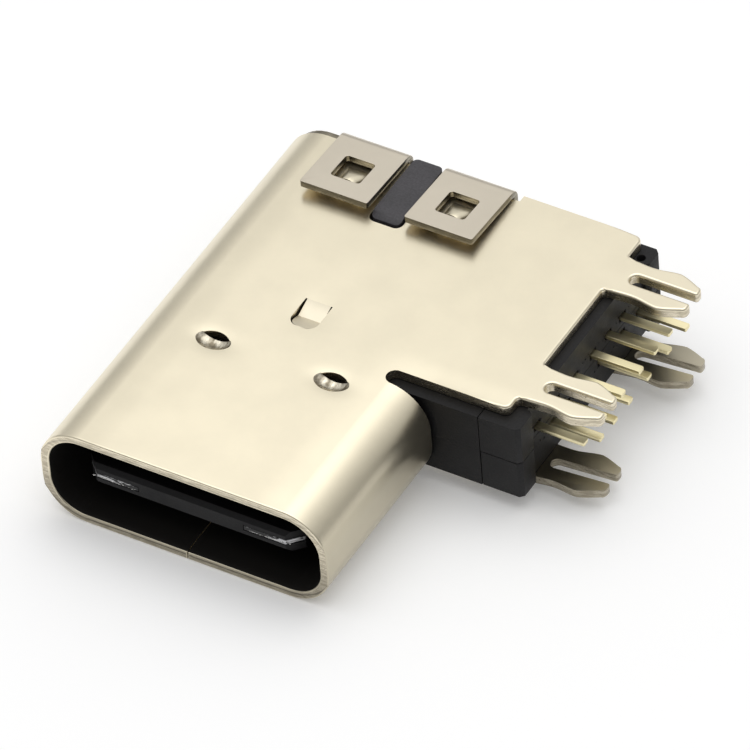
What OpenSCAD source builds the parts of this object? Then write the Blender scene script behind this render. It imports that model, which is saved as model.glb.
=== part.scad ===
// Side-plug USB-C socket for a circuit board: a folded metal shell over a moulded body.
// X runs along the wide side of the mouth, towards the board; Y runs in from the mouth; Z is up.
// The origin is the centre of the mouth, on the plug's axis.

/* [Mouth and tunnel] */
// Outside width of the mouth
mouth_w = 8.94; // [8.8:0.01:9.1]
// Outside height of the mouth
mouth_h = 3.16; // [3.1:0.01:3.3]
// Outside radius of the mouth's corners
mouth_r = 1.30; // [1.1:0.01:1.45]
// Thickness of the shell's sheet
sheet_t = 0.30; // [0.24:0.01:0.34]
// Width of the lead-in chamfer round the opening
lead_in = 0.05; // [0.02:0.01:0.1]
// Length of the tunnel that is closed all round
tunnel_len = 5.60; // [5.2:0.01:5.7]
// Width of the relief slot behind the closed tunnel
relief_w = 0.52; // [0.4:0.01:0.7]
// Distance from the mouth to the shell's rear edge
shell_len = 13.40; // [13.3:0.01:13.8]
// Width of the butt seam under the tunnel
seam_w = 0.03; // [0.02:0.005:0.06]
// Width of the dovetail that locks the seam
dovetail_w = 1.10; // [0.8:0.05:1.4]

/* [Wings and legs] */
// Distance from the mouth's centre to the wings' board edge
wing_reach = 6.65; // [6.5:0.01:6.8]
// Length by which the wings pass the shell's rear edge
wing_overrun = 0.24; // [0.1:0.01:0.3]
// Length of a leg beyond the wing
leg_len = 2.42; // [2:0.01:2.8]
// Width of a leg at its root
leg_w = 1.40; // [1.2:0.01:1.5]
// Amount by which each side of a leg narrows below its root
leg_neck = 0.05; // [0.02:0.01:0.08]
// Amount by which each side of a leg bulges beyond its root
leg_bulge = 0.06; // [0.02:0.01:0.12]
// Distance from the wing to the widest place of a leg
leg_bulge_at = 1.66; // [1.5:0.01:1.8]
// Width across a leg where its prongs' tips begin to round
leg_shoulder_w = 1.04; // [0.9:0.02:1.2]
// Length of the rounded tips of the prongs
prong_tip_len = 0.14; // [0.08:0.01:0.2]
// Rounding of the wings' corners
wing_corner_r = 0.22; // [0.1:0.01:0.3]
// Width of the slot in a leg
leg_slot_w = 0.38; // [0.28:0.01:0.44]
// Distance from the wings' front edge to the front legs' centre
leg_front_at = 1.23; // [1.15:0.01:1.4]
// Distance from the wings' rear edge to the rear legs' centre
leg_rear_at = 1.57; // [1.3:0.01:1.7]
// Distance by which the tips of the lower legs lean up
lower_leg_lean = 0.17; // [0:0.01:0.2]
// Fillet at a leg's root
leg_fillet = 0.12; // [0.05:0.01:0.2]
// Width of the flat tip of each prong of a leg
prong_tip_w = 0.16; // [0.12:0.01:0.2]

/* [Lances in the shell] */
// Length of a plug spring pressed into the tunnel
spring_len = 1.06; // [0.9:0.02:1.2]
// Width of a plug spring's dent
spring_w = 0.70; // [0.56:0.02:0.76]
// Depth of a plug spring's dent
spring_drop = 0.20; // [0.14:0.01:0.22]
// Distance from a plug spring's centre to its free edge
spring_edge_at = 0.18; // [0.1:0.01:0.22]
// Distance from the centre line to a plug spring
spring_x = 1.85; // [1.7:0.01:2]
// Distance from the closed tunnel's end to the plug springs
spring_at = 0.67; // [0.6:0.01:0.8]
// Width of the opening over the lance that locks the body
lock_w = 0.84; // [0.7:0.01:1]
// Length of the lance that locks the body
lock_len = 1.06; // [1:0.01:1.2]
// Radius of the front corners of that opening
lock_r = 0.30; // [0.2:0.02:0.34]
// Distance from the body's front face to that lance's centre
lock_at = 1.20; // [1.15:0.01:1.45]
// Depth of that lance under the surface
lock_drop = 0.18; // [0.15:0.01:0.22]
// Gap on each side of that lance
lock_side_gap = 0.05; // [0.03:0.01:0.08]
// Thickness of the drawn metal in springs and lance
lance_t = 0.16; // [0.12:0.01:0.18]

/* [Rear cover] */
// Thickness of the rear cover's sheet
cover_t = 0.20; // [0.15:0.01:0.22]
// Gap between the shell's rear edge and the cover
cover_gap = 0.05; // [0.03:0.01:0.1]
// Width of a tab
tab_w = 2.14; // [2:0.01:2.2]
// Distance from the centre line to a tab's centre
tab_x = 1.65; // [1.63:0.01:1.75]
// Length of a tab in front of its bend
tab_len = 2.23; // [2:0.01:2.4]
// Gap between the shell and a tab at the bend
tab_gap = 0.06; // [0.04:0.01:0.1]
// Angle by which a tab's free edge stands up
tab_lift = 3.5; // [2:0.5:5]
// Inside radius of a tab's bend
bend_r = 0.12; // [0.08:0.01:0.16]
// Side of a tab's square window
window_w = 0.93; // [0.8:0.01:1]
// Distance from the shell's rear edge to the windows' centre
window_at = 1.19; // [1.1:0.01:1.25]
// Height of the latch under a window
latch_h = 0.25; // [0.15:0.01:0.3]
// Gap between a latch and its window
latch_gap = 0.12; // [0.08:0.01:0.2]

/* [Moulded body] */
// Distance from the closed tunnel's end to the body's front face
body_setback = 0.15; // [0.12:0.01:0.3]
// Distance from the centre line to the seam between body and tail block
body_reach = 5.88; // [5.7:0.01:6]
// Height of the hollow that takes the contact carriers
core_h = 1.24; // [1.1:0.02:1.4]
// Distance from the body's front face to that hollow
core_wall = 0.60; // [0.5:0.05:0.7]
// Distance from the centre line to that hollow's far end
core_reach = 3.50; // [3.3:0.05:3.6]
// Width of the key between the tabs
key_w = 0.92; // [0.8:0.01:0.96]
// Length of the key in front of the shell's rear edge
key_len = 2.34; // [2:0.01:2.4]
// Radius of the key's corners
key_r = 0.16; // [0.1:0.01:0.25]
// Height of the key above the shell
key_proud = 0.12; // [0.05:0.01:0.16]
// Length of the slope at the key's front
key_slope = 0.26; // [0.15:0.01:0.3]
// Gap round the key in the shell's slot
key_gap = 0.06; // [0.04:0.01:0.08]
// Clearance between moulded and metal pieces
fit = 0.02; // [0.01:0.005:0.03]

/* [Tongue] */
// Width of the tongue
tongue_w = 6.69; // [6.5:0.01:6.8]
// Thickness of the tongue
tongue_t = 0.70; // [0.66:0.01:0.74]
// Distance from the mouth to the tongue's tip
tongue_tip = 0.38; // [0.3:0.01:0.6]
// Chamfer on the tongue's front corners
tongue_corner = 0.40; // [0.3:0.01:0.5]
// Depth of the latch notches in the tongue's sides
notch_d = 0.32; // [0.2:0.01:0.4]
// Length of the latch notches
notch_len = 0.90; // [0.7:0.05:1.1]
// Distance from the tongue's tip to the latch notches' centre
notch_at = 1.85; // [1.6:0.05:2.1]
// Thickness of the tongue's root under the ground pads
root_t = 1.00; // [0.9:0.01:1.1]
// Length of the root
root_len = 1.30; // [1.1:0.05:1.4]
// Width of the root
root_w = 6.00; // [5.9:0.05:6.2]
// Thickness of a ground pad
pad_t = 0.15; // [0.1:0.01:0.18]

/* [Mid plate] */
// Thickness of the mid plate
plate_t = 0.15; // [0.1:0.01:0.18]
// Distance from the centre line to the inner edge of a front ear
ear_in = 1.65; // [1.5:0.05:2]
// Distance from the tongue's tip to the plate between the ears
ear_len = 0.45; // [0.35:0.05:0.6]
// Distance from the shell's rear edge to the plate's rear edge
plate_inset = 0.50; // [0.3:0.05:0.9]

/* [Contacts] */
// Pitch of the contacts on the tongue
contact_pitch = 0.50; // [0.49:0.005:0.52]
// Width of a contact
contact_w = 0.25; // [0.2:0.01:0.28]
// Thickness of a contact
contact_t = 0.12; // [0.08:0.01:0.14]
// Distance from the tongue's tip to the signal contacts
signal_start = 0.85; // [0.7:0.05:1]
// Length by which ground and power contacts reach further forward
first_mate = 0.30; // [0.1:0.05:0.35]
// Chamfer at the corners of the contact tails' tips
tail_chamfer = 0.03; // [0.01:0.01:0.04]
// Distance from the centre line to the contact tails' tips
tail_reach = 8.46; // [8.2:0.01:8.8]
// Distance from the body's front face to the links between paired contacts
link_at = 1.00; // [0.95:0.05:1.05]
// Length of a link between paired contacts
link_len = 0.30; // [0.2:0.05:0.35]

/* [Tail block] */
// Distance from the centre line to the block's face between its feet
block_reach = 6.95; // [6.85:0.01:7]
// Height of the feet that stand on the board
foot_h = 0.20; // [0.1:0.01:0.3]
// Length of the front foot
foot_front_len = 0.85; // [0.7:0.05:0.95]
// Length of the rear foot
foot_rear_len = 0.70; // [0.6:0.05:0.8]
// Length by which the block passes the shell's rear edge
block_overrun = 0.27; // [0.2:0.01:0.35]
// Chamfer on the feet's outer corners
foot_chamfer = 0.12; // [0.05:0.01:0.2]
// Depth of the pocket round each tail's root
root_pocket = 0.10; // [0.05:0.01:0.15]
// Diameter of the core pin's hole in the block's rear corner
pin_hole_d = 0.26; // [0.2:0.01:0.3]
// Depth of that hole
pin_hole_depth = 0.45; // [0.3:0.05:0.6]
// Distance from the block's rear face to that hole
pin_hole_at = 0.50; // [0.4:0.01:0.6]

/* [Hidden] */
$fn = 48;
half_h = mouth_h / 2;
inner_half_h = half_h - sheet_t;
flat_x = mouth_w / 2 - mouth_r;
relief_x = flat_x + relief_w / 4;
wing_front = tunnel_len + relief_w;
overrun_x = tab_x + tab_w / 2 + cover_t;
wing_rear = shell_len + wing_overrun;
leg_centres = [wing_front + leg_front_at, wing_rear - leg_rear_at];
fine_arc = 96;
leg_root_half = leg_w / 2;
leg_tip_half = leg_slot_w / 2 + prong_tip_w;
leg_neck_at = leg_bulge_at / 2;
leg_shoulder_at = leg_len - prong_tip_len;
leg_places = concat([for (i = [0 : 12]) leg_bulge_at * i / 12],
    [for (i = [1 : 4]) leg_bulge_at + (leg_shoulder_at - leg_bulge_at) * i / 4],
    [for (i = [1 : 5]) leg_shoulder_at + prong_tip_len * sin(18 * i)]);
body_half_h = inner_half_h - fit;
body_front = tunnel_len + body_setback;
spring_y = tunnel_len - spring_at;
lock_y = body_front + lock_at;
window_y = shell_len - window_at;
key_front = shell_len - key_len;
plate_rear = shell_len - plate_inset;
core_front = body_front + core_wall;
key_slot_front = key_front - 2 * key_gap;
bend_in = shell_len + cover_gap - bend_r;
bend_z = half_h + tab_gap - bend_r;
latch_w = window_w - 2 * latch_gap;
block_rear = shell_len + block_overrun;
foot_reach = block_reach + foot_h;
root_front = body_front - root_len;
// Blade planes: the contacts lie flush in the tongue's two faces.
blade_out = tongue_t / 2;
blade_in = blade_out - contact_t;
link_y = body_front + link_at;
// Positions on the tongue, in pitches from the centre line.
signal_slots = [1.5, 0.5, -0.5, -1.5];
power_slot = 2.5;
ground_slot = 5.5;
// Places of the tails along the block, as shares of its length, front to rear, and their distances from the mouth.
upper_shares = [0.164, 0.297, 0.429, 0.556, 0.663, 0.764];
lower_shares = [0.271, 0.366, 0.473, 0.606, 0.751, 0.878];
upper_tails = [for (share = upper_shares) body_front + share * (block_rear - body_front)];
lower_tails = [for (share = lower_shares) body_front + share * (block_rear - body_front)];

// ---- shared shapes ----

// Extrudes an outline drawn in X and Z from y0 to y1.
module along_y(y0, y1) {
    translate([0, y1, 0]) rotate([90, 0, 0]) linear_extrude(height = y1 - y0) children();
}

// Extrudes an outline drawn in Y and Z from x0 to x1.
module along_x(x0, x1) {
    translate([x0, 0, 0]) rotate([90, 0, 90]) linear_extrude(height = x1 - x0) children();
}

// Extrudes an outline drawn in X and Y from z0 to z1.
module along_z(z0, z1) {
    translate([0, 0, z0]) linear_extrude(height = z1 - z0) children();
}

module box(x0, x1, y0, y1, z0, z1) {
    translate([x0, y0, z0]) cube([x1 - x0, y1 - y0, z1 - z0]);
}

module rect(x0, x1, y0, y1) {
    translate([x0, y0]) square([x1 - x0, y1 - y0]);
}

module rounded_rect(x0, x1, y0, y1, r) {
    rect(x0 + r, x1 - r, y0, y1);
    rect(x0, x1, y0 + r, y1 - r);
    for (x = [x0 + r, x1 - r], y = [y0 + r, y1 - r]) translate([x, y]) circle(r);
}

module mouth_outline(inset) {
    rounded_rect(-mouth_w / 2 + inset, mouth_w / 2 - inset, -half_h + inset, half_h - inset, mouth_r - inset);
}

// A fillet in the inner corner at x, y; dx and dy say which way the open side lies.
module corner_fillet(x, y, dx, dy, r) {
    translate([x, y]) difference() {
        rect(min(0, dx * r), max(0, dx * r), min(0, dy * r), max(0, dy * r));
        translate([dx * r, dy * r]) circle(r);
    }
}

// Both of a pair of pieces that mirror each other above and below the plug's axis.
module above_and_below() {
    children();
    mirror([0, 0, 1]) children();
}

// Both of a pair of pieces that mirror each other left and right of the centre line.
module left_and_right() {
    children();
    mirror([1, 0, 0]) children();
}

// ---- shell ----

// A value that eases from a to b as t goes from 0 to 1.
function ease(a, b, t) = a + (b - a) * (1 - cos(180 * t)) / 2;

// Half width of a leg at distance s from the wing: it narrows to its neck, swells to its bulge,
// tapers to the shoulder and ends in a quarter ellipse.
function leg_half(s) = s <= leg_neck_at
    ? ease(leg_root_half, leg_root_half - leg_neck, s / leg_neck_at)
    : s <= leg_bulge_at
        ? ease(leg_root_half - leg_neck, leg_root_half + leg_bulge, (s - leg_neck_at) / (leg_bulge_at - leg_neck_at))
        : s <= leg_shoulder_at
            ? leg_root_half + leg_bulge - (leg_root_half + leg_bulge - leg_shoulder_w / 2)
                * pow((s - leg_bulge_at) / (leg_shoulder_at - leg_bulge_at), 1.25)
            : leg_tip_half + (leg_shoulder_w / 2 - leg_tip_half)
                * sqrt(max(0, 1 - pow((s - leg_shoulder_at) / prong_tip_len, 2)));

function leg_side(side) = [for (s = leg_places) [wing_reach + s, side * leg_half(s)]];

module leg_outline(y) {
    slot_r = leg_slot_w / 2;
    slot_end = wing_reach + leg_w / 3 + slot_r;
    translate([0, y]) difference() {
        polygon(concat([[wing_reach - sheet_t, -leg_root_half]], leg_side(-1),
            [for (i = [len(leg_places) - 1 : -1 : 0]) leg_side(1)[i]], [[wing_reach - sheet_t, leg_root_half]]));
        translate([slot_end, 0]) circle(slot_r);
        rect(slot_end, wing_reach + leg_len + 1, -slot_r, slot_r);
    }
    for (side = [-1, 1])
        corner_fillet(wing_reach, y + side * leg_root_half, 1, side, leg_fillet);
}

module wing_outline() {
    rect(flat_x - sheet_t, relief_x, tunnel_len, wing_front);
    rect(flat_x - sheet_t, overrun_x, wing_front, shell_len);
    difference() {
        rect(overrun_x, wing_reach, wing_front, wing_rear);
        for (end = [0, 1])
            translate([wing_reach - wing_corner_r, end ? wing_rear - wing_corner_r : wing_front + wing_corner_r])
                mirror([0, 1 - end]) difference() {
                    square(2 * wing_corner_r);
                    circle(wing_corner_r);
                }
    }
}

// The legs of one sheet. Beyond the moulded block they lean in, by the given distance at their tips.
module legs(lean) {
    reach = wing_reach + leg_len;
    intersection() {
        along_z(0, mouth_h) for (y = leg_centres) leg_outline(y);
        along_y(tunnel_len, wing_rear) polygon([[wing_reach - sheet_t, inner_half_h], [block_reach, inner_half_h],
            [reach, inner_half_h - lean], [reach, half_h - lean], [block_reach, half_h],
            [wing_reach - sheet_t, half_h]]);
    }
}

// The slit where the two edges of the folded sheet meet, with its dovetail.
module seam_cut() {
    dove = dovetail_w / 2;
    neck = 0.7 * dove;
    mid = tunnel_len / 2;
    path = [[0, -1], [0, mid - neck], [dove, mid - dove], [dove, mid + dove], [0, mid + neck],
        [0, shell_len + 1]];
    along_z(-half_h - 1, -inner_half_h + sheet_t / 2)
        for (i = [0 : len(path) - 2]) {
            run = path[i + 1] - path[i];
            translate(path[i]) rotate(atan2(run.y, run.x))
                translate([-seam_w / 2, -seam_w / 2]) square([norm(run) + seam_w, seam_w]);
        }
}

// The dent of a spring, turned about a line along X above the surface, with its walls moved out by grow.
module spring_bowl(grow) {
    rise = (pow(spring_w / 2, 2) - pow(spring_drop, 2)) / (2 * spring_drop);
    bow = (pow(spring_len / 2, 2) + pow(spring_drop, 2)) / (2 * spring_drop);
    reach = spring_len / 2 + grow;
    translate([spring_x, spring_y, half_h + rise]) rotate([0, 90, 0]) rotate_extrude($fn = fine_arc) intersection() {
        translate([rise + spring_drop - bow, 0]) circle(bow + grow, $fn = fine_arc);
        translate([0, -reach]) square([2 * reach, 2 * reach]);
    }
}

module spring_lens() {
    bow = (pow(spring_len / 2, 2) + pow(spring_w / 2, 2)) / spring_w;
    intersection_for(side = [-1, 1])
        translate([spring_x, spring_y + side * (bow - spring_w / 2)]) circle(bow, $fn = fine_arc);
}

// What a spring takes out of the shell: its dent, and a slit through the sheet behind its free edge.
module spring_opening() {
    edge = spring_y + spring_edge_at;
    intersection() {
        spring_bowl(0);
        box(0, mouth_w, edge - spring_w, edge, 0, mouth_h);
    }
    along_z(inner_half_h - sheet_t, half_h + sheet_t) intersection() {
        spring_lens();
        rect(0, mouth_w, edge, edge + spring_w);
    }
}

// The drawn skin of a spring, open along its rear edge, which touches the plug from above.
module spring() {
    edge = spring_y + spring_edge_at;
    difference() {
        intersection() {
            spring_bowl(lance_t);
            box(0, mouth_w, edge - 2 * spring_w, edge, 0, half_h - lance_t / 2);
        }
        spring_bowl(0);
    }
}

// Plan of the lance that locks the body, or of its opening: square at the rear, round at the front.
module lock_outline(half) {
    front = lock_y - lock_len / 2;
    rect(-half, half, front + lock_r, lock_y + lock_len / 2);
    rect(-half + lock_r, half - lock_r, front, lock_y);
    for (x = [-half + lock_r, half - lock_r]) translate([x, front + lock_r]) circle(lock_r);
}

// The lance is a bridge, sheared free at its sides and deepest halfway along.
module lock_strip() {
    front = lock_y - lock_len / 2;
    rear = lock_y + lock_len / 2;
    lap = sheet_t / 3;
    top = [[rear, 0], [lock_y, -lock_drop], [front, 0]];
    intersection() {
        along_z(0, half_h) lock_outline(lock_w / 2 - lock_side_gap);
        along_x(-lock_w, lock_w) translate([0, half_h])
            polygon(concat(top, [for (i = [2 : -1 : 0]) top[i] - [0, lance_t + (i == 1 ? 0 : lap)]]));
    }
}

// A half-sheared louvre: arched at its front edge and sloping down to the rear.
module latch() {
    front = window_y - window_w / 2 + latch_gap;
    rear = window_y + window_w / 2 - latch_gap;
    arch_r = (pow(latch_w / 2, 2) + pow(latch_h, 2)) / (2 * latch_h);
    translate([tab_x, 0, 0]) hull() {
        along_y(front, front + latch_h / 2) intersection() {
            translate([0, half_h + latch_h - arch_r]) circle(arch_r);
            rect(-latch_w / 2, latch_w / 2, half_h, half_h + latch_h);
        }
        box(-latch_w / 2, latch_w / 2, front, rear, half_h - sheet_t / 2, half_h + fit);
    }
}

module shell() {
    color([0.80, 0.77, 0.69]) difference() {
        union() {
            difference() {
                union() {
                    along_y(0, tunnel_len) mouth_outline(0);
                    along_y(0, shell_len) intersection() {
                        mouth_outline(0);
                        rect(-mouth_w, flat_x, -mouth_h, mouth_h);
                    }
                    above_and_below() along_z(inner_half_h, half_h) wing_outline();
                    legs(0);
                    mirror([0, 0, 1]) legs(lower_leg_lean);
                }
                along_y(-1, shell_len + 1) mouth_outline(sheet_t);
                translate([relief_x, tunnel_len + relief_w / 2, -mouth_h])
                    cylinder(h = 2 * mouth_h, d = relief_w);
                hull() {
                    along_y(-0.02, 0) mouth_outline(sheet_t - lead_in);
                    along_y(4 * lead_in, 4 * lead_in + 0.01) mouth_outline(sheet_t);
                }
                above_and_below() left_and_right() spring_opening();
                along_z(0, mouth_h) lock_outline(lock_w / 2);
                along_z(0, mouth_h) rounded_rect(-key_w / 2 - key_gap, key_w / 2 + key_gap,
                    key_slot_front, shell_len + 1, key_r + key_gap);
            }
            above_and_below() left_and_right() {
                spring();
                latch();
            }
            lock_strip();
        }
        seam_cut();
    }
}

// ---- rear cover ----

// A tab from the side: up the back, round the bend and forward over the shell.
module tab_profile() {
    turn = 90 - tab_lift;
    outer = bend_r + cover_t;
    rect(bend_in + bend_r, bend_in + outer, 0, bend_z);
    translate([bend_in, bend_z]) {
        intersection() {
            difference() {
                circle(outer);
                circle(bend_r);
            }
            polygon([[0, 0], [2 * outer, 0], [2 * outer, 2 * outer], [2 * outer * cos(turn), 2 * outer * sin(turn)]]);
        }
        rotate(-tab_lift) rect(-tab_len, 0, bend_r, outer);
    }
}

module tab() {
    r = cover_t / 2;
    difference() {
        intersection() {
            along_x(tab_x - tab_w / 2, tab_x + tab_w / 2) tab_profile();
            along_z(0, mouth_h) rounded_rect(tab_x - tab_w / 2, tab_x + tab_w / 2,
                bend_in - tab_len, bend_in + 2 * tab_len, r);
        }
        along_z(half_h, mouth_h) rounded_rect(tab_x - window_w / 2, tab_x + window_w / 2,
            window_y - window_w / 2, window_y + window_w / 2, r);
    }
}

module rear_cover() {
    back = shell_len + cover_gap;
    rim = sheet_t / 3;
    color([0.76, 0.72, 0.65]) {
        difference() {
            along_y(back, back + cover_t) union() {
                intersection() {
                    mouth_outline(rim);
                    rect(-mouth_w, tab_x + tab_w / 2, -mouth_h, mouth_h);
                }
                rect(0, body_reach - fit, -body_half_h, body_half_h);
            }
            box(-key_w / 2 - key_gap, key_w / 2 + key_gap, back - 1, back + 1, body_half_h - 2 * sheet_t, mouth_h);
        }
        above_and_below() left_and_right() tab();
    }
}

// ---- contacts ----

// One flat lead: a blade along the tongue, a right-angle turn and a run out to the board.
module lead(x, start, tail_y, grow) {
    w = contact_w / 2 + grow;
    along_z(blade_in - grow, blade_out + grow) {
        rect(x - w, x + w, start - grow, tail_y + w);
        rect(x - w, tail_reach - tail_chamfer, tail_y - w, tail_y + w);
        polygon([[tail_reach - tail_chamfer, tail_y - w], [tail_reach + grow, tail_y - w + tail_chamfer],
            [tail_reach + grow, tail_y + w - tail_chamfer], [tail_reach - tail_chamfer, tail_y + w]]);
    }
}

// The blade of a paired contact that has no tail of its own.
module short_blade(x, start, grow) {
    w = contact_w / 2 + grow;
    along_z(blade_in - grow, blade_out + grow)
        rect(x - w, x + w, start - grow, link_y + link_len / 2 + grow);
}

module link(x, grow) {
    w = contact_w / 2 + grow;
    box(x - w, x + w, link_y - link_len / 2 - grow, link_y + link_len / 2 + grow, -blade_out, blade_out);
}

module signal_contact(i, tail_y, grow = 0) {
    lead(signal_slots[i] * contact_pitch, tongue_tip + signal_start, tail_y, grow);
}

// A ground or power contact: a blade on each face of the tongue, linked, with one tail.
module paired_contact(slot, tail_y, grow = 0) {
    x = slot * contact_pitch;
    start = tongue_tip + signal_start - first_mate;
    lead(x, start, tail_y, grow);
    mirror([0, 0, 1]) short_blade(x, start, grow);
    link(x, grow);
}

module gold() {
    color([0.83, 0.74, 0.45]) children();
}

// Every contact, grown by a clearance, for the moulded pieces that hold them.
module contact_space(grow) {
    paired_contact(ground_slot, upper_tails[0], grow);
    paired_contact(-power_slot, upper_tails[5], grow);
    mirror([0, 0, 1]) paired_contact(power_slot, lower_tails[0], grow);
    mirror([0, 0, 1]) paired_contact(-ground_slot, lower_tails[5], grow);
    for (i = [0 : 3]) {
        signal_contact(i, upper_tails[i + 1], grow);
        mirror([0, 0, 1]) signal_contact(i, lower_tails[i + 1], grow);
    }
}

// ---- tongue, mid plate and body ----

module tongue_outline(rear, grow = 0) {
    w = tongue_w / 2 + grow;
    tip = tongue_tip - grow;
    a = tongue_tip + notch_at - notch_len / 2;
    b = a + notch_len;
    right = [[w - tongue_corner, tip], [w, tip + tongue_corner], [w, a],
        [w - notch_d, a + notch_d / 2], [w - notch_d, b], [w, b], [w, rear]];
    polygon(concat(right, [for (i = [len(right) - 1 : -1 : 0]) [-right[i].x, right[i].y]]));
}

// The mid plate's outline: ears reach the tongue's front, openings let the links pass.
module plate_outline(grow) {
    hole = contact_w / 2 + 4 * fit - grow;
    difference() {
        tongue_outline(plate_rear + grow, grow);
        rect(-ear_in + grow, ear_in - grow, tongue_tip - 1, tongue_tip + ear_len - grow);
        for (slot = [power_slot, ground_slot], side = [-1, 1])
            rect(side * slot * contact_pitch - hole, side * slot * contact_pitch + hole,
                link_y - link_len / 2 - 4 * fit + grow, link_y + link_len / 2 + 4 * fit - grow);
    }
}

module mid_plate() {
    color([0.72, 0.73, 0.75]) along_z(-plate_t / 2, plate_t / 2) plate_outline(0);
}

module plate_space() {
    along_z(-plate_t / 2 - fit, plate_t / 2 + fit) {
        plate_outline(fit);
        rect(-tongue_w / 2 - fit, tongue_w / 2 + fit, body_front, plate_rear + fit);
    }
}

module body_outline() {
    mouth_outline(sheet_t + fit);
    rect(0, body_reach, -body_half_h, body_half_h);
}

// The key stands between the upper tabs and slopes down at its front.
module key() {
    top = half_h + key_proud;
    rear = shell_len + cover_gap + cover_t / 2;
    intersection() {
        along_z(body_half_h - sheet_t, top)
            rounded_rect(-key_w / 2, key_w / 2, key_front, rear, key_r);
        along_x(-key_w, key_w) polygon([[key_front, 0], [key_front, half_h], [key_front + key_slope, top],
            [rear, top], [rear, 0]]);
    }
}

module housing() {
    tip = [tongue_tip, tongue_t / 2];
    bevel = contact_t;
    half_root = root_w / 2;
    color([0.16, 0.15, 0.17]) difference() {
        union() {
            intersection() {
                along_z(-tongue_t / 2, tongue_t / 2) tongue_outline(body_front + core_wall / 2);
                along_x(-tongue_w, tongue_w) polygon([[tip.x, -tip.y + bevel], [tip.x + bevel, -tip.y],
                    [core_front, -tip.y], [core_front, tip.y], [tip.x + bevel, tip.y], [tip.x, tip.y - bevel]]);
            }
            box(-half_root, half_root, root_front, body_front + core_wall / 2, -root_t / 2, root_t / 2);
            along_y(body_front, shell_len) body_outline();
            key();
        }
        box(-core_reach, body_reach + 1, core_front, shell_len + 1, -core_h / 2, core_h / 2);
        plate_space();
        contact_space(fit);
        box(-lock_w / 2, lock_w / 2, lock_y - lock_len / 2 - sheet_t / 2, lock_y + lock_len / 2 + sheet_t / 2,
            half_h - lock_drop - lance_t - 2 * fit, half_h);
    }
}

// ---- contact carriers, whose outer ends form the block on the board ----

module foot(y0, y1) {
    along_z(fit / 2, body_half_h) polygon([[block_reach - foot_h, y0], [foot_reach - foot_chamfer, y0],
        [foot_reach, y0 + foot_chamfer], [foot_reach, y1 - foot_chamfer], [foot_reach - foot_chamfer, y1],
        [block_reach - foot_h, y1]]);
}

// The upper carrier as moulded: a slab in the body's hollow and half of the block outside it.
module carrier_solid() {
    box(-core_reach + fit, body_reach + 2 * fit, core_front + fit, shell_len - fit, fit / 2, core_h / 2 - fit);
    box(body_reach + fit, block_reach, body_front, block_rear, fit / 2, body_half_h);
    foot(body_front, body_front + foot_front_len);
    foot(block_rear - foot_rear_len, block_rear);
}

module pin_hole() {
    translate([block_reach - pin_hole_d / 2, block_rear - pin_hole_at, body_half_h - pin_hole_depth])
        cylinder(h = 2 * pin_hole_depth, d = pin_hole_d);
}

// What both carriers leave free: the mid plate, the contacts and a pocket round each tail's root.
module carrier_space() {
    pocket = contact_w / 2 + 3 * fit;
    plate_space();
    contact_space(fit);
    for (row = [upper_tails, -lower_tails], y = row)
        box(block_reach - root_pocket, block_reach + 1, abs(y) - pocket, abs(y) + pocket,
            y > 0 ? blade_in - 3 * fit : -blade_out - 3 * fit, y > 0 ? blade_out + 3 * fit : -blade_in + 3 * fit);
}

module upper_carrier() {
    color([0.20, 0.19, 0.21]) difference() {
        carrier_solid();
        carrier_space();
        pin_hole();
    }
}

module lower_carrier() {
    color([0.20, 0.19, 0.21]) difference() {
        mirror([0, 0, 1]) carrier_solid();
        carrier_space();
    }
}

// ---- ground pads ----

module ground_pad() {
    w = root_w / 2 - pad_t;
    color([0.75, 0.74, 0.72]) {
        box(-w, w, root_front, body_front - fit, root_t / 2, root_t / 2 + pad_t);
        box(-w, w, root_front - pad_t, root_front, tongue_t / 2 + fit, root_t / 2 + pad_t);
    }
}

shell();
rear_cover();
housing();
upper_carrier();
lower_carrier();
mid_plate();
ground_pad();  // upper_ground_pad
mirror([0, 0, 1]) ground_pad();  // lower_ground_pad
gold() paired_contact(ground_slot, upper_tails[0]);  // contact_ground_front
gold() mirror([0, 0, 1]) paired_contact(power_slot, lower_tails[0]);  // contact_power_front
gold() paired_contact(-power_slot, upper_tails[5]);  // contact_power_rear
gold() mirror([0, 0, 1]) paired_contact(-ground_slot, lower_tails[5]);  // contact_ground_rear
gold() signal_contact(0, upper_tails[1]);  // contact_upper_1
gold() signal_contact(1, upper_tails[2]);  // contact_upper_2
gold() signal_contact(2, upper_tails[3]);  // contact_upper_3
gold() signal_contact(3, upper_tails[4]);  // contact_upper_4
gold() mirror([0, 0, 1]) signal_contact(0, lower_tails[1]);  // contact_lower_1
gold() mirror([0, 0, 1]) signal_contact(1, lower_tails[2]);  // contact_lower_2
gold() mirror([0, 0, 1]) signal_contact(2, lower_tails[3]);  // contact_lower_3
gold() mirror([0, 0, 1]) signal_contact(3, lower_tails[4]);  // contact_lower_4
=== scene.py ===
# Side-plug USB-C socket: a folded nickel-plated shell round a moulded body, with fork legs and gilt contacts
# that go into a circuit board. Everything is in metres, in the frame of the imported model.
import math

import bmesh
import bpy
from mathutils import Matrix, Vector
from mathutils.bvhtree import BVHTree


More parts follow.
